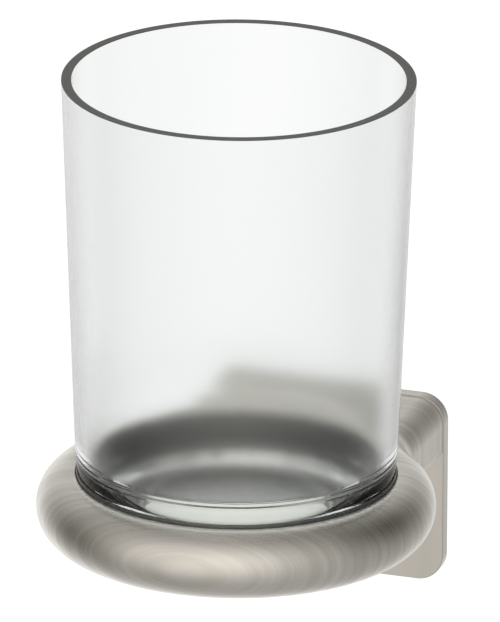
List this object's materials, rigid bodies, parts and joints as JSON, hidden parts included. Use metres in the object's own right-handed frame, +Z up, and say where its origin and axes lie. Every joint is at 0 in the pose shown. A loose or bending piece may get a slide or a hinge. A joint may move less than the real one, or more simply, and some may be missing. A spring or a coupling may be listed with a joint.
{
  "type": "tumbler holder",
  "caption": "Wall-mounted holder with a round metal ring on an arm and a rectangular wall plate, carrying a removable frosted glass tumbler.",
  "frame": {"origin": "on the wall, midway between the two wall screws", "axes": "+Z up along the wall, +Y into the wall, -Y out towards the tumbler, +X to the right of someone facing the wall"},
  "size_m": [0.0792, 0.0986, 0.1231],
  "materials": {
    "frosted_glass": "acid-etched outside, clear polished foot, ground rim",
    "liner_plastic": "clear moulded plastic",
    "brushed_nickel": "satin nickel plating, brushed",
    "bracket_steel": "rolled stainless steel",
    "screw_steel": "bright stainless steel"
  },
  "bodies": {
    "wall_unit": {"holder": "brushed_nickel", "seat_liner": "liner_plastic", "wall_plate": "brushed_nickel", "plate_screws": "screw_steel", "wall_bracket": "bracket_steel", "clamp_screw": "screw_steel"},
    "tumbler": {"tumbler": "frosted_glass"}
  },
  "joints": [
    {"name": "tumbler_lift", "type": "slide", "parent": "wall_unit", "child": "tumbler", "axis": [0, 0, 1], "range_m": [0, 0.05]}
  ]
}
